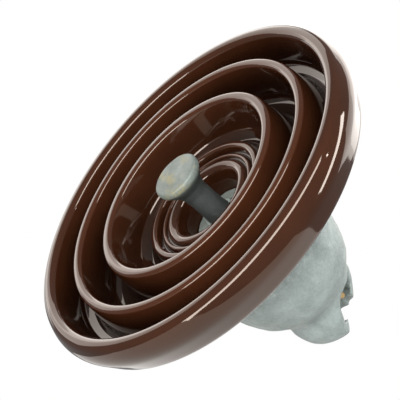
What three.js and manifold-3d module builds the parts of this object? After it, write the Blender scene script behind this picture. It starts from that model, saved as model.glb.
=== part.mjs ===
// Cap-and-pin disc suspension insulator, ball-and-socket coupling, 255 mm disc, 146 mm spacing.
// Millimetres, +Z up along the string. The origin is the ball seat in the cap's socket,
// so the unit hangs below the origin and its own ball hangs one spacing lower.
import * as THREE from "three";
import { mergeVertices } from "three/addons/utils/BufferGeometryUtils.js";
import Module from "manifold-3d";

const wasm = await Module();
wasm.setup();

// Driving dimensions
const SPACING = 146; // ball seat to the bearing shoulder of this unit's own ball
const DISC_RADIUS = 127.5;
const RIM_CREST_Z = -152.6;
const RIB_CREST_Z = -151.7;
const RIB_TIP_RADIUS = 3.1;
const RIB_TIP_HALF_WIDTH = RIB_TIP_RADIUS + 0.2;
const OUTER_RIB_RADIUS = 94.1;
const INNER_RIB_RADIUS = 67.7;

// Ball-and-socket coupling of the 16 mm size
const BALL_RADIUS = 16.6;
const BALL_HEIGHT = 13.4;
const BALL_FACE_Z = -SPACING - BALL_HEIGHT;
const SHANK_RADIUS = 8.5;
const SLOT_HALF_WIDTH = 9.6;
const ENTRY_HALF_WIDTH = 17.3;
const POCKET_FLOOR_Z = -18.6;
const ENTRY_CEILING_Z = -2.5;
const SOCKET_TOP_Z = 8;
const SOCKET_RADIUS = 29.4;
const SOCKET_FRONT_Y = -60;
const SOCKET_BACK_Y = 45;
const FLARE_HALF_WIDTH = 13.6;
const FLARE_START_Z = -1;
const FLARE_BACK_Y = -3;
const BALL_EDGE_FILLET = 2;

// Cap bell and head
const CAP_RIM_Z = -91;
const CAP_RIM_RADIUS = 51.8;
const CAP_MOUTH_RADIUS = 42.8;
const CAP_CAVITY_TOP_Z = -31.5;
const HEAD_TOP_Z = -39;
const NECK_RADIUS = 35;
const BORE_TOP_Z = -50.5;
const BORE_MOUTH_Z = -113;
const BORE_MOUTH_RADIUS = 22.6;
const PIN_END_Z = -54;

// Thin layers
const GAP = 0.3;
const COAT = 0.8;
const GRIT = 1.4;
const COAT_START_Z = -111.5;
const COAT_START_RADIUS = 9.6;
const HEAD_CUSHION = { radius: 24, low: HEAD_TOP_Z + GAP, high: CAP_CAVITY_TOP_Z - 3 };
const PIN_CUSHION = { radius: 13, low: PIN_END_Z + 2 * GAP + COAT, high: BORE_TOP_Z - GAP };
const HEAD_GRIT = { low: -82, high: -58, lowRadius: 35.4, highRadius: 36.7 };
const BORE_GRIT = { low: -108, high: -64, lowRadius: 21, highRadius: 22.5 };

// Split pin: a wire folded round an eye, its two legs passing below the coupled ball
const WIRE_RADIUS = 2;
const LEG_OFFSET = 3.6;
const LEG_Z = POCKET_FLOOR_Z + GAP + WIRE_RADIUS;
const LEG_TIP_Y = -19;
const HOOK_START_Y = -14.5;
const HOOK_OFFSET = 6.6;
const HOOK_END_Y = 8;
const EYE_Y = 41;
const EYE_RADIUS = 6.5;
const EYE_STEPS = 10;
const PIN_HOLE_HALF_WIDTH = 6.2;
const PIN_HOLE_HALF_HEIGHT = 2.6;

// Walls that a cement fills against, as corners of [radius, z, fillet]
const HEAD_WALL = [
  [0, HEAD_TOP_Z],
  [31, HEAD_TOP_Z, 9],
  [36.5, -54, 8],
];
const BORE_WALL = [
  [24.4, -60, 5],
  [21, BORE_TOP_Z, 5],
  [0, BORE_TOP_Z],
];
const CAP_CAVITY = [
  [CAP_MOUTH_RADIUS, CAP_RIM_Z],
  [CAP_MOUTH_RADIUS - 0.4, CAP_RIM_Z + 5],
  [CAP_MOUTH_RADIUS + 0.4, -66],
  [40.8, -50],
  [35.4, -38.6],
  [26, CAP_CAVITY_TOP_Z],
  [0, CAP_CAVITY_TOP_Z],
];
const COLLAR_FACE = [
  [0, -118],
  [9.8, -118],
  [12.6, -115.6, 6],
  [18, -114, 6],
  [BORE_MOUTH_RADIUS - 0.4, BORE_MOUTH_Z - 0.2],
];
// The shank where it meets the cement, then the three cones that lock the pin in it
const SHANK_TOP = [
  [SHANK_RADIUS, -124],
  [COAT_START_RADIUS, -112],
];
const PIN_CONES = [
  [9, -100],
  [14.6, -89],
  [10, -84],
  [16, -72],
  [11, -67],
  [17, -57],
  [14, PIN_END_Z],
  [0, PIN_END_Z],
];

// Fineness of the round surfaces
const SEGMENTS = 32;
const DEGREE = Math.PI / 180;
const EYE_START = 34 * DEGREE;
const WIDE_FILLET = 15;
const FINE_STEP = 12 * DEGREE;
const COARSE_STEP = 50 * DEGREE;

// Rounds the corners of an outline. A corner is [radius, z, fillet]; no fillet keeps it sharp.
// Wide fillets get finer steps than narrow ones.
function rounded(corners, closed = false) {
  const points = [];
  corners.forEach(([r, z, fillet = 0], i) => {
    const corner = new THREE.Vector2(r, z);
    const isEnd = !closed && (i === 0 || i === corners.length - 1);
    if (isEnd || fillet === 0) {
      points.push(corner);
      return;
    }
    const before = corners[(i + corners.length - 1) % corners.length];
    const after = corners[(i + 1) % corners.length];
    const toBefore = new THREE.Vector2(before[0] - r, before[1] - z);
    const toAfter = new THREE.Vector2(after[0] - r, after[1] - z);
    const room = Math.min(toBefore.length(), toAfter.length()) * 0.49;
    toBefore.normalize();
    toAfter.normalize();
    const half = Math.acos(THREE.MathUtils.clamp(toBefore.dot(toAfter), -1, 1)) / 2;
    const tangent = Math.min(fillet / Math.tan(half), room);
    const radius = tangent * Math.tan(half);
    const middle = toBefore.clone().add(toAfter).normalize();
    const centre = corner.clone().addScaledVector(middle, radius / Math.sin(half));
    const start = corner.clone().addScaledVector(toBefore, tangent).sub(centre);
    const end = corner.clone().addScaledVector(toAfter, tangent).sub(centre);
    const turn = Math.atan2(start.cross(end), start.dot(end));
    const step = fillet > WIDE_FILLET ? FINE_STEP : COARSE_STEP;
    const steps = Math.max(1, Math.ceil(Math.abs(turn) / step));
    for (let k = 0; k <= steps; k++) {
      const ray = start.clone().rotateAround(new THREE.Vector2(), (turn * k) / steps);
      points.push(centre.clone().add(ray));
    }
  });
  return points;
}

// Turns an outline about Z. The outline runs from the axis to the axis, or closes on itself.
function turned(points, closed = false) {
  const outline = closed ? [...points, points[0].clone()] : points;
  const lathe = new THREE.LatheGeometry(outline, SEGMENTS);
  lathe.rotateX(Math.PI / 2);
  return solidOf(lathe);
}

// A closed Manifold solid from a geometry, with its faces pointing out.
function solidOf(geometry) {
  const bare = geometry.index ? geometry.clone() : geometry;
  bare.deleteAttribute("normal");
  bare.deleteAttribute("uv");
  const merged = mergeVertices(bare, 1e-4);
  const index = merged.index.array;
  const position = merged.attributes.position;
  const kept = [];
  let volume = 0;
  const [a, b, c] = [new THREE.Vector3(), new THREE.Vector3(), new THREE.Vector3()];
  for (let i = 0; i < index.length; i += 3) {
    const [ia, ib, ic] = index.slice(i, i + 3);
    if (ia === ib || ib === ic || ic === ia) continue;
    kept.push(ia, ib, ic);
    a.fromBufferAttribute(position, ia);
    b.fromBufferAttribute(position, ib);
    c.fromBufferAttribute(position, ic);
    volume += a.dot(b.cross(c));
  }
  if (volume < 0) kept.reverse();
  return new wasm.Manifold(
    new wasm.Mesh({ numProp: 3, vertProperties: position.array, triVerts: new Uint32Array(kept) }),
  );
}

// A box between two corners.
function block(low, high) {
  const size = new THREE.Vector3(high[0] - low[0], high[1] - low[1], high[2] - low[2]);
  const box = new THREE.BoxGeometry(size.x, size.y, size.z);
  box.translate(low[0] + size.x / 2, low[1] + size.y / 2, low[2] + size.z / 2);
  return solidOf(box);
}

// An upright round bar between two heights.
function bar(radius, low, high) {
  const cylinder = new THREE.CylinderGeometry(radius, radius, high - low, SEGMENTS);
  cylinder.rotateX(Math.PI / 2);
  cylinder.rotateZ(Math.PI / 2);
  cylinder.translate(0, 0, (low + high) / 2);
  return solidOf(cylinder);
}

// Moves an outline sideways by a distance, to the left of its direction of travel, with mitred corners.
function offset(points, distance) {
  const directionAfter = (i) => points[i + 1].clone().sub(points[i]).normalize();
  return points.map((point, i) => {
    const before = directionAfter(Math.max(i - 1, 0));
    const after = directionAfter(Math.min(i, points.length - 2));
    const along = before.clone().add(after).normalize();
    const mitre = distance / along.dot(after);
    const moved = point.clone().add(new THREE.Vector2(-along.y, along.x).multiplyScalar(mitre));
    if (point.x === 0) moved.x = 0;
    return moved;
  });
}

// A thin coat that follows an outline from one distance to another.
function coat(points, near, far, closed) {
  const inner = offset(points, near);
  const outer = offset(points, far);
  return turned([...inner, ...outer.reverse()], closed);
}

// One rib: two walls that lean together, and a rounded tip.
function rib(radius, outerFoot, innerFoot) {
  return [
    outerFoot,
    [radius + RIB_TIP_HALF_WIDTH, RIB_CREST_Z, RIB_TIP_RADIUS],
    [radius - RIB_TIP_HALF_WIDTH, RIB_CREST_Z, RIB_TIP_RADIUS],
    innerFoot,
  ];
}

// Porcelain: the head inside the cap, the sloping disc, the rim, two deep ribs, a recess with
// two small ribs round the bore's lip, and the blind bore that takes the pin.
function porcelainShell() {
  const disc = [
    [NECK_RADIUS, -89, 7],
    [52, -95.6, 12],
    [120, -121.6, 7],
  ];
  const rim = [
    [DISC_RADIUS + 1.32, -140.6, 17],
    [123.6, RIM_CREST_Z, 6],
    [115.1, RIM_CREST_Z, 4.7],
    [111.3, -126.6, 6],
  ];
  const ribs = [
    ...rib(OUTER_RIB_RADIUS, [101, -122.6, 6], [89.4, -118.8, 7]),
    ...rib(INNER_RIB_RADIUS, [74.6, -115.6, 6], [58, -128, 7]),
  ];
  const recess = [
    [49.5, -120.5, 4],
    [45, -133, 2],
    [40.8, -133.4, 2],
    [39.6, -124.6, 2],
    [37.2, -130.4, 1.8],
    [34.8, -130.6, 1.4],
    [34.2, -126.6, 1.4],
    [31.8, -131.9, 3.6],
  ];
  const mouth = [
    [25.6, -130.6, 6.5],
    [BORE_MOUTH_RADIUS, BORE_MOUTH_Z, 3],
  ];
  const underside = [...rim, ...ribs, ...recess, ...mouth];
  return turned(rounded([...HEAD_WALL, ...disc, ...underside, ...BORE_WALL]));
}

// Cap: bell, neck and socket. The socket opens to -Y: a pocket that lets the ball in sideways,
// a slot for its shank, and lips that the ball hangs from.
function cap() {
  const outside = rounded([
    [CAP_MOUTH_RADIUS, CAP_RIM_Z],
    [CAP_RIM_RADIUS, CAP_RIM_Z, 2],
    [CAP_RIM_RADIUS - 0.8, -80, 10],
    [45.8, -54, 16],
    [40.2, -39, 16],
    [31, -27.4, 6],
    [28.4, -21.6, 6],
    [SOCKET_RADIUS, -12, 8],
    [27, -1, 12],
    [17, SOCKET_TOP_Z, 8],
    [0, SOCKET_TOP_Z],
  ]);
  const cavity = rounded(CAP_CAVITY).reverse();
  const bell = turned([...cavity.slice(0, -1), ...outside]);
  const taken = [socketSpace(), slantedFront(), flaredEntry()];
  return taken.reduce((solid, other) => solid.subtract(other), bell);
}

// The pocket, the seat, the slot and the hole at the back for the split pin.
function socketSpace() {
  const overlap = 1;
  const above = SOCKET_TOP_Z + overlap;
  const ceiling = ENTRY_CEILING_Z - overlap;
  const entry = [ENTRY_HALF_WIDTH, 0, ENTRY_CEILING_Z];
  const gate = [SLOT_HALF_WIDTH, 0, above];
  const legs = [PIN_HOLE_HALF_WIDTH, SOCKET_BACK_Y, LEG_Z + PIN_HOLE_HALF_HEIGHT];
  return wasm.Manifold.union([
    bar(ENTRY_HALF_WIDTH, POCKET_FLOOR_Z, ENTRY_CEILING_Z),
    block([-ENTRY_HALF_WIDTH, SOCKET_FRONT_Y, POCKET_FLOOR_Z], entry),
    bar(ENTRY_HALF_WIDTH, ceiling, 0),
    bar(SLOT_HALF_WIDTH, -overlap, above),
    block([-SLOT_HALF_WIDTH, SOCKET_FRONT_Y, ceiling], gate),
    block([-PIN_HOLE_HALF_WIDTH, 0, LEG_Z - PIN_HOLE_HALF_HEIGHT], legs),
  ]);
}

// The sloping front that trims the ears back towards the top.
function slantedFront() {
  const ahead = SOCKET_FRONT_Y;
  const above = SOCKET_TOP_Z + 4;
  const corners = [
    [ahead, -24],
    [-23.5, -24],
    [-20.5, POCKET_FLOOR_Z],
    [-7, SOCKET_TOP_Z],
    [-7, above],
    [ahead, above],
  ];
  const side = new THREE.Shape(corners.map(([y, z]) => new THREE.Vector2(y, z)));
  const width = 2 * SOCKET_BACK_Y;
  const wedge = new THREE.ExtrudeGeometry(side, { depth: width, bevelEnabled: false });
  wedge.translate(0, 0, -width / 2);
  wedge.rotateX(Math.PI / 2);
  wedge.rotateZ(Math.PI / 2);
  return solidOf(wedge);
}

// The slot's widening towards the top, in front of the ball's seat.
function flaredEntry() {
  const above = SOCKET_TOP_Z + 4;
  const lean = (FLARE_HALF_WIDTH - SLOT_HALF_WIDTH) / (SOCKET_TOP_Z - FLARE_START_Z);
  const wide = FLARE_HALF_WIDTH + lean * (above - SOCKET_TOP_Z);
  const corners = [
    [-SLOT_HALF_WIDTH, FLARE_START_Z],
    [SLOT_HALF_WIDTH, FLARE_START_Z],
    [wide, above],
    [-wide, above],
  ];
  const front = new THREE.Shape(corners.map(([x, z]) => new THREE.Vector2(x, z)));
  const depth = FLARE_BACK_Y - SOCKET_FRONT_Y;
  const flare = new THREE.ExtrudeGeometry(front, { depth, bevelEnabled: false });
  flare.rotateX(Math.PI / 2);
  flare.translate(0, FLARE_BACK_Y, 0);
  return solidOf(flare);
}

// Pin: ball, shank and embedded cones in one forging.
function pin() {
  const ball = [
    [0, BALL_FACE_Z],
    [BALL_RADIUS, BALL_FACE_Z, BALL_EDGE_FILLET],
    [BALL_RADIUS + 0.3, BALL_FACE_Z + 4.2, 4],
    [SHANK_RADIUS + 1.5, -SPACING, 4],
    [SHANK_RADIUS, -SPACING + 6, 6],
  ];
  return turned(rounded([...ball, ...SHANK_TOP, ...PIN_CONES]));
}

// Split pin: one wire, bent round an eye, whose leg tips hook outwards inside the pocket.
function lockingPin() {
  const leg = [
    [HOOK_OFFSET, LEG_TIP_Y],
    [LEG_OFFSET + 1, (LEG_TIP_Y + HOOK_START_Y) / 2],
    [LEG_OFFSET, HOOK_START_Y + 2],
    [LEG_OFFSET, HOOK_END_Y],
    [LEG_OFFSET, EYE_Y - 2 * EYE_RADIUS],
  ];
  const eye = [];
  for (let k = 0; k <= EYE_STEPS; k++) {
    const angle = EYE_START + ((2 * Math.PI - 2 * EYE_START) * k) / EYE_STEPS;
    eye.push([EYE_RADIUS * Math.sin(angle), EYE_Y - EYE_RADIUS * Math.cos(angle)]);
  }
  const otherLeg = leg.map(([x, y]) => [-x, y]).reverse();
  const points = [...leg, ...eye, ...otherLeg].map(([x, y]) => new THREE.Vector3(x, y, LEG_Z));
  const section = new THREE.Shape();
  section.absarc(0, 0, WIRE_RADIUS, 0, 2 * Math.PI);
  const extrudePath = new THREE.CatmullRomCurve3(points);
  return solidOf(new THREE.ExtrudeGeometry(section, { steps: 48, curveSegments: 4, extrudePath }));
}

// A band of porcelain grit on a nearly straight wall, from its inner to its outer face.
function gritBand({ low, high, lowRadius, highRadius }) {
  const band = [
    [lowRadius, low],
    [lowRadius + GRIT, low],
    [highRadius + GRIT, high],
    [highRadius, high],
  ];
  return turned(band.map(([r, z]) => new THREE.Vector2(r, z)), true);
}

// The room that a grit band needs, from a wall at one radius to its own far face.
function gritRoom({ low, high, lowRadius, highRadius }, wallRadius, depth) {
  const corners = [
    [wallRadius, low - GAP],
    [lowRadius + depth, low - GAP],
    [highRadius + depth, high + GAP],
    [wallRadius, high + GAP],
  ];
  return turned(rounded(corners), wallRadius > 0);
}

// A cushion of resilient material, with some room round it if wanted.
function cushion({ radius, low, high }, below = 0, above = 0) {
  const room = below > 0 ? GAP : 0;
  return bar(radius + room, low - below, high + above);
}

// Everything inside an outline that ends on the axis, closed by a flat face at its start height.
function filled(points) {
  return turned([new THREE.Vector2(0, points[0].y), ...points]);
}

// Cement between cap and porcelain. Its edge is set back a little inside the cap's rim.
function capCement() {
  const setBack = 3;
  const reach = 2 * CAP_RIM_RADIUS;
  const neck = [
    [NECK_RADIUS, -84],
    [NECK_RADIUS + 2.5, CAP_RIM_Z + 0.8],
  ];
  const space = filled(offset(rounded(CAP_CAVITY), 2 * GAP + COAT));
  const taken = [
    block([-reach, -reach, 2 * CAP_RIM_Z], [reach, reach, CAP_RIM_Z + setBack]),
    filled(offset(rounded([...HEAD_WALL, ...neck]), GAP).reverse()),
    gritRoom(HEAD_GRIT, 0, GRIT + GAP),
    cushion(HEAD_CUSHION, 1, GAP),
  ];
  return taken.reduce((solid, other) => solid.subtract(other), space);
}

// Cement between pin and porcelain, with the sloping collar that it shows round the shank.
function pinCement() {
  const wall = offset(rounded([[BORE_MOUTH_RADIUS, BORE_MOUTH_Z], ...BORE_WALL]), GAP).slice(1);
  const body = turned([...rounded(COLLAR_FACE), ...wall]);
  const coatFace = COAT_START_RADIUS + 3 * GAP + COAT;
  const outside = 2 * BORE_MOUTH_RADIUS;
  const taken = [
    filled(offset(rounded([...SHANK_TOP, ...PIN_CONES]), -GAP)),
    bar(SHANK_RADIUS + 1.3, -SPACING, COAT_START_Z),
    bar(coatFace, COAT_START_Z - GAP, COAT_START_Z + 1),
    filled(offset(coatOutline(), -(2 * GAP + COAT))),
    gritRoom(BORE_GRIT, outside, -GAP),
    cushion(PIN_CUSHION, GAP, 1),
  ];
  return taken.reduce((solid, other) => solid.subtract(other), body);
}

// The stretch of the pin that carries the bituminous coat.
function coatOutline() {
  return rounded([[COAT_START_RADIUS, COAT_START_Z], ...PIN_CONES]);
}

const porcelain = { color: 0x4a1f14, roughness: 0.12, metalness: 0 };
const zinc = { color: 0xb4bdb6, roughness: 0.62, metalness: 0.55 };
const cement = { color: 0x9a9c94, roughness: 0.95, metalness: 0 };
const bitumen = { color: 0x17161a, roughness: 0.6, metalness: 0 };
const cork = { color: 0x8a6a48, roughness: 0.95, metalness: 0 };
const grit = { color: 0x8d7668, roughness: 0.9, metalness: 0 };
const bronze = { color: 0xb08a52, roughness: 0.3, metalness: 0.9 };

function meshOf(name, solid, finish) {
  const { vertProperties, triVerts, numProp } = solid.getMesh();
  const geometry = new THREE.BufferGeometry();
  const positions = new Float32Array((vertProperties.length / numProp) * 3);
  for (let i = 0; i < positions.length; i++) {
    positions[i] = vertProperties[Math.floor(i / 3) * numProp + (i % 3)];
  }
  geometry.setAttribute("position", new THREE.BufferAttribute(positions, 3));
  geometry.setIndex(new THREE.BufferAttribute(new Uint32Array(triVerts), 1));
  geometry.computeVertexNormals();
  const mesh = new THREE.Mesh(geometry, new THREE.MeshStandardMaterial(finish));
  mesh.name = name;
  return mesh;
}

const group = new THREE.Group();
group.add(
  meshOf("porcelain_shell", porcelainShell(), porcelain),
  meshOf("cap", cap(), zinc),
  meshOf("pin", pin(), zinc),
  meshOf("cap_cement", capCement(), cement),
  meshOf("pin_cement", pinCement(), cement),
  meshOf("cap_lining", coat(rounded(CAP_CAVITY), GAP, GAP + COAT, true), bitumen),
  meshOf("pin_coating", coat(coatOutline(), -GAP, -GAP - COAT, true), bitumen),
  meshOf("head_cushion", cushion(HEAD_CUSHION), cork),
  meshOf("pin_cushion", cushion(PIN_CUSHION), cork),
  meshOf("outer_grit_band", gritBand(HEAD_GRIT), grit),
  meshOf("inner_grit_band", gritBand(BORE_GRIT), grit),
  meshOf("locking_pin", lockingPin(), bronze),
);

export default group;
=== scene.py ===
"""A cap-and-pin disc insulator hanging from the ball seat in its cap: a brown glazed porcelain
shell, a galvanised cast cap, a galvanised forged pin, two joints of cement and a split pin."""

import math

import bmesh
import bpy
from mathutils import Matrix, Quaternion, Vector, noise

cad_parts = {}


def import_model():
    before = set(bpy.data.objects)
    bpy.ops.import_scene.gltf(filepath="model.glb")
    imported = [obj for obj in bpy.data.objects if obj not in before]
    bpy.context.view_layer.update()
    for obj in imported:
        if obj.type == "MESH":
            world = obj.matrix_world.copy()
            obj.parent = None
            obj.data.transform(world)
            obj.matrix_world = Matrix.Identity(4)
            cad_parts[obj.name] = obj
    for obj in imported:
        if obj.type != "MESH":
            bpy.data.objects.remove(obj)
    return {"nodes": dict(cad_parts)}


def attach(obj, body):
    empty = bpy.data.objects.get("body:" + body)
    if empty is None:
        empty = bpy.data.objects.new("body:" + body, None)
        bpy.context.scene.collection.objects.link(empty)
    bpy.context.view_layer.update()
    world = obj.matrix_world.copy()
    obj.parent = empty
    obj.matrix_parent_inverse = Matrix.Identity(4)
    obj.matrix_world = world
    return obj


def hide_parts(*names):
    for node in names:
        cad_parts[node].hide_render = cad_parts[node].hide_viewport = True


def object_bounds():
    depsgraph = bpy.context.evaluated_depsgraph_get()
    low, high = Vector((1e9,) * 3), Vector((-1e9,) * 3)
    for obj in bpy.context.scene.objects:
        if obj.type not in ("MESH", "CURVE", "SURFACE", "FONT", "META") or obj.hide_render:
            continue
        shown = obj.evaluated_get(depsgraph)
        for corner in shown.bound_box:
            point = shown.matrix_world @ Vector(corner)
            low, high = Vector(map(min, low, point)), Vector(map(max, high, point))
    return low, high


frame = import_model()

MM = 0.001
CAD_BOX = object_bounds()
INSULATOR, SPLIT_PIN = "insulator", "locking_pin"

# Camera: seen from below and from the entry side of the socket, with the string's axis running
# down to the right. Angles are in degrees, the distance in metres.
CAMERA_AZIMUTH = 49.88
CAMERA_ELEVATION = -28.46
CAMERA_ROLL = -130.12
CAMERA_DISTANCE = 1.25
CAMERA_AIM = Vector((-41.59, 37.53, -103.29)) * MM
CAMERA_LENS = 168.9

# Studio: strengths of the room and of the floor's glow, and the floor in metres.
ROOM_LIGHT = 0.30
WARM = (1.0, 0.96, 0.92)
FLOOR_DROP = 1.15
FLOOR_SIZE = 60.0
FLOOR_GLOW = 0.62

# Mesh fineness: segments per turn, angle per step of a fillet, and longest spans in millimetres.
ROUND_SEGMENTS, COLLAR_SEGMENTS, SMALL_SEGMENTS = 256, 128, 96
FILLET_STEP = math.radians(9)
LONGEST_SPAN, FINE_SPAN = 3.0, 0.8
ON_AXIS = 1e-6

# Outlines as corners of [radius, height, fillet] in millimetres, from the ball seat.
SHELL_OUTLINE = [
    [0, -39],
    [31, -39, 9],
    [36.5, -54, 8],
    [35, -89, 7],
    [52, -95.6, 12],
    [120, -121.6, 7],
    [128.82, -140.6, 17],
    [123.6, -152.6, 6],
    [115.1, -152.6, 4.7],
    [111.3, -126.6, 6],
    [101, -122.6, 6],
    [97.4, -151.7, 3.1],
    [90.8, -151.7, 3.1],
    [89.4, -118.8, 7],
    [74.6, -115.6, 6],
    [71, -151.7, 3.1],
    [64.4, -151.7, 3.1],
    [58, -128, 7],
    [49.5, -120.5, 4],
    [45, -133, 2],
    [40.8, -133.4, 2],
    [39.6, -124.6, 2],
    [37.2, -130.4, 1.8],
    [34.8, -130.6, 1.4],
    [34.2, -126.6, 1.4],
    [31.8, -131.9, 3.6],
    [25.6, -130.6, 6.5],
    [22.6, -113, 3],
    [24.4, -60, 5],
    [21, -50.5, 5],
    [0, -50.5],
]
CAP_OUTSIDE = [
    [42.8, -91],
    [51.8, -91, 2],
    [51, -80, 10],
    [45.8, -54, 16],
    [40.2, -39, 16],
    [31, -27.4, 6],
    [28.4, -21.6, 6],
    [29.4, -12, 8],
    [27, -1, 12],
    [17, 8, 8],
    [0, 8],
]
CAP_CAVITY = [
    [42.8, -91],
    [42.4, -86],
    [43.2, -66],
    [40.8, -50],
    [35.4, -38.6],
    [26, -31.5],
    [0, -31.5],
]
PIN_OUTLINE = [
    [0, -159.4],
    [16.6, -159.4, 2],
    [16.9, -155.2, 4],
    [10, -146, 4],
    [8.5, -140, 6],
    [8.5, -124],
    [9.6, -112],
    [9, -100],
    [14.6, -89],
    [10, -84],
    [16, -72],
    [11, -67],
    [17, -57],
    [14, -54],
    [0, -54],
]
# Painted shade on the zinc: heights where the darkening starts and ends, the dark colour, and patches.
# Painted shade on the pin, over the back of the ball and the shank, where the ball shades them.
PIN_SHANK_PAINTED_SHADE = (-155, -151, (0.040, 0.045, 0.042))
# Painted shade on the cap, in patches, growing towards its rim by the porcelain.
CAP_RIM_PAINTED_SHADE = (-62, -94, (0.080, 0.095, 0.088), True)
COLLAR_OUTLINE = [
    [0, -112],
    [8.8, -118],
    [10.2, -118, 0.6],
    [12.6, -115.6, 6],
    [18, -114, 6],
    [22, -113.2, 0.8],
    [22.3, -105, 1],
    [0, -105],
]
COAT_GAP, COAT_THICKNESS = 0.3, 0.8

# Glaze thins where the outline curves out: share per unit of bend, and passes that spread it.
THIN_PER_BEND, THIN_SPREADS = 3.0, 12

# The cement between cap and porcelain: its low edge, and its corners round the grit band.
CEMENT_LOW_Z, CEMENT_LOW_RADIUS = -88, 41.1
CEMENT_CUSHION_RADIUS, CEMENT_CEILING_Z = 24.3, -34.2
GRIT_CORNERS = [[36.7, -57.7], [38.4, -57.7], [37.1, -82.3], [35.7, -82.3]]
CEMENT_NECK = [[35.6, -84], [37, -88]]

# Socket in the cap: pocket, seat, shank slot, hole for the split pin, and the sloping front.
POCKET_HALF_WIDTH, SLOT_HALF_WIDTH = 17.3, 9.6
POCKET_FLOOR_Z, POCKET_CEILING_Z = -18.6, -2.5
SOCKET_TOP_Z = 8
SOCKET_FRONT_Y, SOCKET_BACK_Y = -60, 45
PIN_HOLE = ((-6.2, 0, -18.9), (6.2, SOCKET_BACK_Y, -13.7))
CUT_OVERLAP, CUT_ROOM = 1, 4
FRONT_HALF_WIDTH = 60
FRONT_SLOPE = [(-60, -24), (-23.5, -24), (-20.5, -18.6), (-7, 8), (-7, 12), (-60, 12)]
FLARED_SLOT = [(-9.6, -1), (9.6, -1), (15.4, 12), (-15.4, 12)]
FLARE_BACK_Y = -3
CAP_VOXEL = 1.0
CAP_SMOOTHING = 10

# Split pin, as it lies: one leg from its hooked tip to the eye, then round the eye.
WIRE_RADIUS = 2.0
WIRE_Z = -16.3
LEG_PATH = [(6.6, -19), (4.6, -16.75), (3.6, -12.5), (3.6, 8), (3.6, 28)]
EYE_CENTRE_Y, EYE_RADIUS, EYE_START, EYE_STEPS = 41, 6.5, math.radians(34), 20


# ---------------------------------------------------------------- outlines


def rounded(corners):
    """Points along an outline whose corners are rounded by their fillets."""
    points = []
    last = len(corners) - 1
    for i, (r, z, *fillet) in enumerate(corners):
        corner = Vector((r, z))
        if i in (0, last) or not fillet:
            points.append(corner)
            continue
        to_before = Vector(corners[i - 1][:2]) - corner
        to_after = Vector(corners[i + 1][:2]) - corner
        room = min(to_before.length, to_after.length) * 0.49
        to_before.normalize()
        to_after.normalize()
        half = to_before.angle(to_after) / 2
        tangent = min(fillet[0] / math.tan(half), room)
        radius = tangent * math.tan(half)
        centre = corner + (to_before + to_after).normalized() * radius / math.sin(half)
        start = corner + to_before * tangent - centre
        end = corner + to_after * tangent - centre
        turn = math.atan2(start.x * end.y - start.y * end.x, start.dot(end))
        steps = max(2, math.ceil(abs(turn) / FILLET_STEP))
        for k in range(steps + 1):
            points.append(centre + Matrix.Rotation(turn * k / steps, 2) @ start)
    return points


def divided(points, longest=LONGEST_SPAN):
    """The same outline with its long spans cut into shorter ones."""
    out = [points[0]]
    for a, b in zip(points, points[1:]):
        parts = max(1, math.ceil((b - a).length / longest))
        out += [a.lerp(b, k / parts) for k in range(1, parts + 1)]
    return out


def offset(points, distance):
    """An outline moved sideways, to the left of its direction of travel."""
    moved = []
    for i, point in enumerate(points):
        before = points[max(i, 1)] - points[max(i, 1) - 1]
        after = points[min(i + 1, len(points) - 1)] - points[min(i, len(points) - 2)]
        along = (before.normalized() + after.normalized()).normalized()
        mitre = distance / along.dot(after.normalized())
        x = 0 if point.x == 0 else point.x - along.y * mitre
        moved.append(Vector((x, point.y + along.x * mitre)))
    return moved


# ---------------------------------------------------------------- meshes


def placed(name, data):
    """A new object in the scene."""
    obj = bpy.data.objects.new(name, data)
    bpy.context.scene.collection.objects.link(obj)
    return obj


def as_object(name, bm):
    """An object from a bmesh, smooth shaded, with its faces pointing out."""
    bmesh.ops.recalc_face_normals(bm, faces=bm.faces)
    for face in bm.faces:
        face.smooth = True
    mesh = bpy.data.meshes.new(name)
    bm.to_mesh(mesh)
    bm.free()
    return placed(name, mesh)


def turned(name, points, segments=ROUND_SEGMENTS, closed=False):
    """A body of revolution about Z from an outline that ends on the axis, or closes on itself."""
    bm = bmesh.new()
    rings = []
    for point in points:
        if point.x < ON_AXIS:
            rings.append([bm.verts.new((0, 0, point.y * MM))])
            continue
        angles = (2 * math.pi * k / segments for k in range(segments))
        rings.append(
            [bm.verts.new(Vector((point.x * math.cos(a), point.x * math.sin(a), point.y)) * MM)
             for a in angles]
        )
    pairs = list(zip(rings, rings[1:]))
    if closed:
        pairs.append((rings[-1], rings[0]))
    for low, high in pairs:
        for k in range(segments):
            j = (k + 1) % segments
            if len(low) == 1 and len(high) == 1:
                break
            if len(low) == 1:
                bm.faces.new((low[0], high[k], high[j]))
            elif len(high) == 1:
                bm.faces.new((low[k], high[0], low[j]))
            else:
                bm.faces.new((low[k], high[k], high[j], low[j]))
    return as_object(name, bm)


def box(name, low, high):
    """A block between two opposite corners."""
    bm = bmesh.new()
    size = Vector(high) - Vector(low)
    place = Matrix.Translation((Vector(low) + size / 2) * MM) @ Matrix.Diagonal((*size * MM, 1))
    bmesh.ops.create_cube(bm, size=1, matrix=place)
    return as_object(name, bm)


def bar(name, radius, low, high):
    """An upright round bar on the axis."""
    points = [Vector(p) for p in ((0, low), (radius, low), (radius, high), (0, high))]
    return turned(name, points, SMALL_SEGMENTS)


def prism(name, near, far):
    """A solid between two matching outlines of 3-D points."""
    bm = bmesh.new()
    ends = [[bm.verts.new(Vector(point) * MM) for point in outline] for outline in (near, far)]
    bm.faces.new(ends[0])
    bm.faces.new(ends[1][::-1])
    for k in range(len(near)):
        j = (k + 1) % len(near)
        bm.faces.new((ends[0][k], ends[0][j], ends[1][j], ends[1][k]))
    return as_object(name, bm)


def with_modifiers(obj):
    """Makes the modifiers of an object part of its mesh."""
    graph = bpy.context.evaluated_depsgraph_get()
    mesh = bpy.data.meshes.new_from_object(obj.evaluated_get(graph))
    obj.modifiers.clear()
    obj.data = mesh


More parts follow.
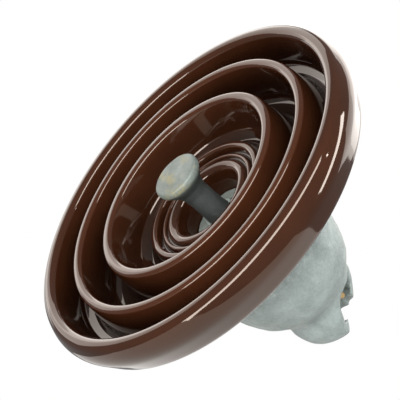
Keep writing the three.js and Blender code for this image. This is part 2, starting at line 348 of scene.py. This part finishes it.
def cut(obj, cutters):
    """Takes the cutters out of a solid and removes them."""
    for cutter in cutters:
        modifier = obj.modifiers.new("cut", "BOOLEAN")
        modifier.operation = "DIFFERENCE"
        modifier.solver = "EXACT"
        modifier.object = cutter
    with_modifiers(obj)
    for cutter in cutters:
        bpy.data.objects.remove(cutter)


def softened(obj, voxel, repeats):
    """Rounds every edge of a solid, as a casting's are, by an even remesh and some smoothing."""
    remesh = obj.modifiers.new("remesh", "REMESH")
    remesh.mode = "VOXEL"
    remesh.voxel_size = voxel * MM
    remesh.use_smooth_shade = True
    smooth = obj.modifiers.new("smooth", "SMOOTH")
    smooth.factor = 0.5
    smooth.iterations = repeats
    with_modifiers(obj)


def roughened(obj, depth, size, seed):
    """Moves the vertices along their normals by soft noise, like a hand-dressed surface."""
    mesh = obj.data
    shift = Vector((seed, seed * 2, seed * 3))
    for vertex, normal in zip(mesh.vertices, [v.normal.copy() for v in mesh.vertices]):
        amount = noise.fractal(vertex.co / (size * MM) + shift, 1.0, 2.0, 3)
        vertex.co += normal * amount * depth * MM
    mesh.update()


def finished(obj, material, body, slot, *nodes):
    """Gives a piece its material and the body it rides on, and hides the CAD nodes it replaces. The
    slot is not used.
    """
    obj.data.materials.clear()
    obj.data.materials.append(material)
    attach(obj, body)
    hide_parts(*nodes)


# ---------------------------------------------------------------- materials


def shader(name):
    """A material with its node tree, its Principled node and a function that adds a node."""
    material = bpy.data.materials.new(name)
    material.use_nodes = True
    tree = material.node_tree
    principled = tree.nodes["Principled BSDF"]

    def add(kind, inputs=(), **settings):
        node = tree.nodes.new("ShaderNode" + kind)
        for key, value in settings.items():
            setattr(node, key, value)
        for key, value in dict(inputs).items():
            if isinstance(value, bpy.types.NodeSocket):
                tree.links.new(value, node.inputs[key])
            else:
                node.inputs[key].default_value = value
        return node

    return material, principled, add


def link(material, source, target):
    material.node_tree.links.new(source, target)


def noise_of(add, scale, detail=4.0, roughness=0.55, distortion=0.0):
    """A noise pattern in the row frame, with scale in cycles per metre."""
    place = add("TexCoord").outputs["Object"]
    settings = {"Vector": place, "Scale": scale, "Detail": detail,
                "Roughness": roughness, "Distortion": distortion}
    return add("TexNoise", settings).outputs["Fac"]


def ramp(add, value, stops):
    """A colour ramp on a value, from two pairs of position and colour."""
    node = add("ValToRGB", {"Fac": value})
    for element, (position, colour) in zip(node.color_ramp.elements, stops):
        element.position = position
        element.color = (*colour, 1)
    return node.outputs["Color"]


def grey(value):
    return (value, value, value)


def blend_of(add, factor, a, b, kind="MIX"):
    """Two colours mixed, each given as a socket or as three numbers."""
    node = add("Mix", data_type="RGBA", blend_type=kind)
    tree = node.id_data
    sockets = {"Factor": node.inputs[0], "A": node.inputs[6], "B": node.inputs[7]}
    for key, value in (("Factor", factor), ("A", a), ("B", b)):
        if isinstance(value, bpy.types.NodeSocket):
            tree.links.new(value, sockets[key])
        else:
            sockets[key].default_value = value if key == "Factor" else (*value, 1)
    return node.outputs[2]


def bumped(add, height, strength, distance, normal=None):
    """A normal from a height pattern, with distance in millimetres."""
    inputs = {"Height": height, "Strength": strength, "Distance": distance * MM}
    if normal is not None:
        inputs["Normal"] = normal
    return add("Bump", inputs).outputs["Normal"]


def glaze():
    """Brown glaze on porcelain: deep and glossy, thinner and warmer where the body curves out."""
    material, principled, add = shader("glaze_brown")
    cloud = noise_of(add, 28, 3.0)
    deep = ramp(add, cloud, [(0.35, (0.0165, 0.0055, 0.0025)), (0.7, (0.0250, 0.0080, 0.0034))])
    thin = add("Attribute", attribute_name="thin_glaze").outputs["Fac"]
    colour = blend_of(add, thin, deep, (0.050, 0.0145, 0.0056))
    speck = ramp(add, noise_of(add, 2600, 2.0, 0.5), [(0.70, grey(0.0)), (0.78, grey(1.0))])
    colour = blend_of(add, speck, colour, (0.016, 0.005, 0.003))
    link(material, colour, principled.inputs["Base Color"])
    gloss = ramp(add, noise_of(add, 60, 3.0), [(0.3, grey(0.035)), (0.75, grey(0.075))])
    link(material, gloss, principled.inputs["Roughness"])
    principled.inputs["IOR"].default_value = 1.52
    principled.inputs["Specular Tint"].default_value = (1.0, 0.86, 0.75, 1.0)
    wave = bumped(add, noise_of(add, 45, 1.0), 0.35, 0.25)
    fine = bumped(add, noise_of(add, 260, 1.0), 0.03, 0.05, wave)
    link(material, fine, principled.inputs["Normal"])
    return material


def painted_shade_band(add, colour, start, end, shade_colour, patchy=False):
    """Painted shade: the colour turned into a darker one between two heights, evenly or in patches."""
    height = add("SeparateXYZ", {0: add("TexCoord").outputs["Object"]}).outputs["Z"]
    inputs = {"Value": height, "From Min": start * MM, "From Max": end * MM}
    share = add("MapRange", inputs).outputs["Result"]
    if patchy:
        spots = ramp(add, noise_of(add, 170, 5.0, 0.65), [(0.40, grey(0.0)), (0.62, grey(0.9))])
        share = blend_of(add, 1.0, share, spots, "MULTIPLY")
    return blend_of(add, share, colour, shade_colour)


def galvanised(name, light, dark, grain, pits, stain=None, shade_band=None):
    """Hot-dip zinc on iron: dull, patchy pale grey, with a fine cast or forged texture, and painted
    shade between two heights where a band is given.
    """
    material, principled, add = shader(name)
    patches = noise_of(add, 55, 6.0, 0.62, 0.4)
    colour = ramp(add, patches, [(0.34, dark), (0.66, light)])
    mottle = ramp(add, noise_of(add, 620, 5.0, 0.65), [(0.3, grey(0.82)), (0.7, grey(1.08))])
    colour = blend_of(add, 1.0, colour, mottle, "MULTIPLY")
    speckle = ramp(add, noise_of(add, 380, 3.0, 0.7), [(0.24, grey(0.55)), (0.36, grey(1.0))])
    colour = blend_of(add, 1.0, colour, speckle, "MULTIPLY")
    if stain is not None:
        spread = ramp(add, noise_of(add, 95, 5.0, 0.6), [(0.52, grey(0.0)), (0.68, grey(1.0))])
        colour = blend_of(add, spread, colour, stain)
    # Painted shade: the zinc turned darker between two heights.
    if shade_band is not None:
        colour = painted_shade_band(add, colour, *shade_band)
    link(material, colour, principled.inputs["Base Color"])
    dull = ramp(add, noise_of(add, 150, 4.0), [(0.3, grey(0.48)), (0.7, grey(0.68))])
    link(material, dull, principled.inputs["Roughness"])
    principled.inputs["Metallic"].default_value = 0.25
    lumps = bumped(add, noise_of(add, grain / 4, 4.0, 0.6), 0.4, 0.8)
    coarse = bumped(add, noise_of(add, grain, 5.0, 0.62), 0.7, 0.4, lumps)
    pitted = ramp(add, noise_of(add, pits, 2.0, 0.5), [(0.28, grey(0.0)), (0.42, grey(1.0))])
    fine = bumped(add, pitted, 0.35, 0.18, coarse)
    link(material, fine, principled.inputs["Normal"])
    return material


def gritty(name, light, dark, scale, depth, rough=0.92):
    """A dull mineral or fibrous surface: cement, cork, grit or bitumen."""
    material, principled, add = shader(name)
    patches = blend_of(add, 0.5, noise_colour(add, 60), noise_colour(add, scale))
    link(material, ramp(add, patches, [(0.38, dark), (0.62, light)]), principled.inputs["Base Color"])
    principled.inputs["Roughness"].default_value = rough
    link(material, bumped(add, noise_of(add, scale, 6.0, 0.7), 0.6, depth), principled.inputs["Normal"])
    return material


def noise_colour(add, scale):
    return ramp(add, noise_of(add, scale, 5.0, 0.6), [(0.0, grey(0.0)), (1.0, grey(1.0))])


def bronze_wire():
    """Drawn phosphor bronze, tarnished in patches."""
    material, principled, add = shader("bronze_wire")
    tarnish = noise_of(add, 260, 4.0, 0.6)
    colour = ramp(add, tarnish, [(0.38, (0.42, 0.25, 0.10)), (0.62, (0.72, 0.52, 0.27))])
    link(material, colour, principled.inputs["Base Color"])
    dull = ramp(add, tarnish, [(0.35, grey(0.42)), (0.65, grey(0.24))])
    link(material, dull, principled.inputs["Roughness"])
    principled.inputs["Metallic"].default_value = 1.0
    link(material, bumped(add, noise_of(add, 900, 3.0), 0.2, 0.05), principled.inputs["Normal"])
    return material


def plain(name, colour, rough):
    """A plain matt surface with the faintest unevenness and an even glow, for the floor."""
    material, principled, add = shader(name)
    tone = ramp(add, noise_of(add, 0.8, 2.0), [(0.3, grey(colour * 0.98)), (0.7, grey(colour))])
    link(material, tone, principled.inputs["Base Color"])
    principled.inputs["Roughness"].default_value = rough
    principled.inputs["Emission Color"].default_value = (1, 1, 1, 1)
    principled.inputs["Emission Strength"].default_value = FLOOR_GLOW
    return material


# ---------------------------------------------------------------- pieces


def mark_thin_glaze(obj, points):
    """Stores on each vertex how far the outline curves outwards there, from 0 to 1."""
    thin = []
    for i, point in enumerate(points):
        before, after = points[max(i - 1, 0)], points[min(i + 1, len(points) - 1)]
        a, b = point - before, after - point
        cross = a.x * b.y - a.y * b.x
        bend = cross / max(a.length * b.length * (a.length + b.length) / 2, 1e-9)
        thin.append(min(max(-bend * THIN_PER_BEND, 0), 1))
    for _ in range(THIN_SPREADS):
        thin = [(thin[max(i - 1, 0)] + 2 * t + thin[min(i + 1, len(thin) - 1)]) / 4
                for i, t in enumerate(thin)]
    attribute = obj.data.attributes.new("thin_glaze", "FLOAT", "POINT")
    values = []
    for point, value in zip(points, thin):
        values += [value] * (1 if point.x < ON_AXIS else ROUND_SEGMENTS)
    attribute.data.foreach_set("value", values)


def porcelain(material):
    points = divided(rounded(SHELL_OUTLINE))
    shell = turned("porcelain", points)
    mark_thin_glaze(shell, points)
    finished(shell, material, INSULATOR, "porcelain", "porcelain_shell")


def socket_cutters():
    wide, narrow = POCKET_HALF_WIDTH, SLOT_HALF_WIDTH
    above = SOCKET_TOP_Z + CUT_ROOM
    ceiling = POCKET_CEILING_Z - CUT_OVERLAP
    return [
        bar("pocket", wide, POCKET_FLOOR_Z, POCKET_CEILING_Z),
        box("entry", (-wide, SOCKET_FRONT_Y, POCKET_FLOOR_Z), (wide, 0, POCKET_CEILING_Z)),
        bar("seat", wide, ceiling, 0),
        bar("shank_hole", narrow, -CUT_OVERLAP, above),
        box("slot", (-narrow, SOCKET_FRONT_Y, ceiling), (narrow, 0, above)),
        box("pin_hole", *PIN_HOLE),
        prism("front", *[[(x, y, z) for y, z in FRONT_SLOPE]
                         for x in (-FRONT_HALF_WIDTH, FRONT_HALF_WIDTH)]),
        prism("flare", *[[(x, y, z) for x, z in FLARED_SLOT]
                         for y in (SOCKET_FRONT_Y, FLARE_BACK_Y)]),
    ]


def cap(material):
    outline = rounded(CAP_CAVITY)[::-1][:-1] + rounded(CAP_OUTSIDE)
    body = turned("cast_cap", outline, SMALL_SEGMENTS)
    cut(body, socket_cutters())
    softened(body, CAP_VOXEL, CAP_SMOOTHING)
    roughened(body, depth=0.35, size=14, seed=3)
    finished(body, material, INSULATOR, "zinc_cap", "cap")


def forged_pin(material):
    body = turned("forged_pin", divided(rounded(PIN_OUTLINE), FINE_SPAN), SMALL_SEGMENTS)
    roughened(body, depth=0.15, size=9, seed=7)
    finished(body, material, INSULATOR, "zinc_pin", "pin")


def cement_collar(material):
    body = turned("pin_cement_collar", divided(rounded(COLLAR_OUTLINE), FINE_SPAN), COLLAR_SEGMENTS)
    roughened(body, depth=0.4, size=5, seed=11)
    finished(body, material, INSULATOR, "cement", "pin_cement")


def cap_joint(cement, bitumen):
    """The cement between cap and porcelain, and the lining between cap and cement."""
    cavity = divided(rounded(CAP_CAVITY))
    inner = offset(cavity, COAT_GAP + COAT_THICKNESS)
    lining = turned("cap_bitumen", offset(cavity, COAT_GAP) + inner[::-1], SMALL_SEGMENTS, True)
    finished(lining, bitumen, INSULATOR, "bitumen", "cap_lining")
    outer = offset(cavity, 2 * COAT_GAP + COAT_THICKNESS)
    outer = [Vector((CEMENT_LOW_RADIUS, CEMENT_LOW_Z))] + [p for p in outer if p.y > CEMENT_LOW_Z]
    ceiling = [(0, CEMENT_CEILING_Z), (CEMENT_CUSHION_RADIUS, CEMENT_CEILING_Z)]
    head = offset(rounded(SHELL_OUTLINE[:4]), COAT_GAP)
    head = [p for p in head if p.x > CEMENT_CUSHION_RADIUS and p.y > GRIT_CORNERS[0][1]]
    step = Vector((CEMENT_CUSHION_RADIUS, head[0].y))
    inner = [Vector(p) for p in ceiling] + [step] + head
    inner += [Vector(p) for p in GRIT_CORNERS + CEMENT_NECK]
    ring = turned("cap_cement_ring", divided(outer + inner), ROUND_SEGMENTS, True)
    finished(ring, cement, INSULATOR, "cement", "cap_cement")


def split_pin(material):
    """One wire bent round an eye, drawn as a smooth tube."""
    eye = []
    for k in range(EYE_STEPS + 1):
        angle = EYE_START + (2 * math.pi - 2 * EYE_START) * k / EYE_STEPS
        eye.append((EYE_RADIUS * math.sin(angle), EYE_CENTRE_Y - EYE_RADIUS * math.cos(angle)))
    path = LEG_PATH + eye + [(-x, y) for x, y in LEG_PATH[::-1]]
    curve = bpy.data.curves.new("split_pin", "CURVE")
    curve.dimensions = "3D"
    curve.bevel_depth = WIRE_RADIUS * MM
    curve.bevel_resolution = 6
    curve.use_fill_caps = True
    curve.resolution_u = 8
    spline = curve.splines.new("NURBS")
    spline.points.add(len(path) - 1)
    for point, (x, y) in zip(spline.points, path):
        point.co = (x * MM, y * MM, WIRE_Z * MM, 1)
    spline.order_u = 3
    spline.use_endpoint_u = True
    drawn = placed("split_pin_curve", curve)
    graph = bpy.context.evaluated_depsgraph_get()
    mesh = bpy.data.meshes.new_from_object(drawn.evaluated_get(graph))
    bpy.data.objects.remove(drawn)
    for face in mesh.polygons:
        face.use_smooth = True
    finished(placed("split_pin", mesh), material, SPLIT_PIN, "bronze", "locking_pin")


def dress(node, material):
    """Gives a CAD node that stays a procedural material."""
    for slot in frame["nodes"][node].material_slots:
        slot.material = material


# ---------------------------------------------------------------- studio


def direction(azimuth, elevation):
    a, e = math.radians(azimuth), math.radians(elevation)
    return Vector((math.sin(a) * math.cos(e), -math.cos(a) * math.cos(e), math.sin(e)))


def camera():
    back = direction(CAMERA_AZIMUTH, CAMERA_ELEVATION)
    data = bpy.data.cameras.new("camera")
    data.lens = CAMERA_LENS
    obj = placed("camera", data)
    obj.rotation_mode = "QUATERNION"
    level = (-back).to_track_quat("-Z", "Y")
    obj.rotation_quaternion = level @ Quaternion((0, 0, 1), math.radians(-CAMERA_ROLL))
    obj.location = CAMERA_AIM + back * CAMERA_DISTANCE
    bpy.context.scene.camera = obj
    return obj


def floor():
    low, high = CAD_BOX
    bm = bmesh.new()
    bmesh.ops.create_grid(bm, x_segments=1, y_segments=1, size=FLOOR_SIZE / 2)
    sheet = as_object("floor", bm)
    sheet.location = (0, 0, low.z - FLOOR_DROP)
    sheet.data.materials.append(plain("floor_paper", 0.86, 0.9))
    sheet.visible_glossy = False
    sheet.visible_diffuse = False


def softbox(name, axes, azimuth, elevation, distance, size, radiance, long_way=(1, 0),
            facing=None, tint=(1, 1, 1)):
    """A rectangular light round the part, in the camera's right, up and back directions.

    Azimuth runs from the camera to its right, elevation to its up. The light's long side follows
    long_way, given as right and up, and its power follows from its radiance.
    """
    right, up, back = axes
    a, e = math.radians(azimuth), math.radians(elevation)
    toward = back * math.cos(e) * math.cos(a) + right * math.cos(e) * math.sin(a) + up * math.sin(e)
    normal = facing or toward
    low, high = CAD_BOX
    along = right * long_way[0] + up * long_way[1]
    along = (along - normal * along.dot(normal)).normalized()
    data = bpy.data.lights.new(name, "AREA")
    data.shape = "RECTANGLE"
    data.size, data.size_y = size
    data.energy = radiance * math.pi * size[0] * size[1]
    data.color = tint
    obj = placed(name, data)
    obj.location = (low + high) / 2 + toward * distance
    obj.rotation_mode = "QUATERNION"
    turn = Matrix((along, normal.cross(along), normal)).transposed()
    obj.rotation_quaternion = turn.to_quaternion()
    obj.visible_camera = False
    return obj


def world():
    """White where the camera looks past the part, and a soft grey room for all else."""
    scene_world = bpy.data.worlds.new("room")
    bpy.context.scene.world = scene_world
    scene_world.use_nodes = True
    tree = scene_world.node_tree
    tree.nodes.clear()
    path = tree.nodes.new("ShaderNodeLightPath")
    choose = tree.nodes.new("ShaderNodeMixShader")
    out = tree.nodes.new("ShaderNodeOutputWorld")
    tree.links.new(path.outputs["Is Camera Ray"], choose.inputs["Fac"])
    for socket, strength in ((1, ROOM_LIGHT), (2, 1.0)):
        background = tree.nodes.new("ShaderNodeBackground")
        background.inputs["Color"].default_value = (1, 1, 1, 1)
        background.inputs["Strength"].default_value = strength
        tree.links.new(background.outputs[0], choose.inputs[socket])
    tree.links.new(choose.outputs[0], out.inputs["Surface"])


def lights(view):
    """Two long strips, a small bulb, walls on both sides, a backdrop and a sheet from below.

    The strips and the bulb are white, the large lights are slightly warm, and the sheet lights
    reflections only.
    """
    turn = view.rotation_quaternion
    axes = [turn @ Vector(axis) for axis in ((1, 0, 0), (0, 1, 0), (0, 0, 1))]
    softbox("main_strip", axes, azimuth=-5, elevation=4, distance=1.6, size=(4.2, 0.48),
            radiance=14, long_way=(0.617, 0.787))
    softbox("side_strip", axes, azimuth=74, elevation=25, distance=1.8, size=(1.6, 0.3),
            radiance=16, long_way=(0.62, 0.78))
    softbox("bulb", axes, azimuth=50, elevation=36, distance=1.8, size=(0.035, 0.035), radiance=70)
    softbox("right_wall", axes, azimuth=140, elevation=25, distance=2.2, size=(3.0, 1.6),
            radiance=2.3, tint=WARM)
    softbox("backdrop", axes, azimuth=180, elevation=22, distance=2.6, size=(5.6, 2.2),
            radiance=1.3, tint=WARM)
    sheet = softbox("white_sheet", axes, azimuth=149, elevation=-46, distance=1.67, size=(4.0, 4.6),
                    radiance=1.15, facing=axes[1] * -1, tint=WARM)
    sheet.visible_diffuse = False
    softbox("left_wall", axes, azimuth=-130, elevation=33, distance=2.3, size=(2.7, 1.6),
            radiance=2.2, tint=WARM)


# ---------------------------------------------------------------- scene


def build():
    # The cap's zinc carries painted shade, in patches, towards its rim.
    zinc_cap = galvanised("zinc_on_casting", (0.270, 0.315, 0.302), (0.190, 0.226, 0.215), 900, 1500,
                          shade_band=CAP_RIM_PAINTED_SHADE)
    # The pin's zinc carries painted shade over the back of the ball and the shank.
    zinc_pin = galvanised("zinc_on_forging", (0.235, 0.268, 0.245), (0.150, 0.174, 0.155), 700, 1300,
                          stain=(0.27, 0.25, 0.145), shade_band=PIN_SHANK_PAINTED_SHADE)
    cement = gritty("cement_grey", (0.42, 0.47, 0.43), (0.27, 0.31, 0.28), 800, 0.3)
    bitumen = gritty("bitumen_black", (0.018, 0.017, 0.018), (0.008, 0.008, 0.009), 300, 0.1, 0.5)
    cork = gritty("cork_brown", (0.34, 0.20, 0.10), (0.16, 0.085, 0.04), 500, 0.3)
    grit = gritty("grit_buff", (0.34, 0.24, 0.18), (0.18, 0.12, 0.09), 700, 0.4)
    porcelain(glaze())
    cap(zinc_cap)
    forged_pin(zinc_pin)
    cement_collar(cement)
    cap_joint(cement, bitumen)
    split_pin(bronze_wire())
    kept = {"pin_coating": bitumen, "head_cushion": cork, "pin_cushion": cork,
            "outer_grit_band": grit, "inner_grit_band": grit}
    for node, material in kept.items():
        dress(node, material)
    floor()
    world()
    lights(camera())
    bpy.context.scene.view_settings.view_transform = "Standard"


build()
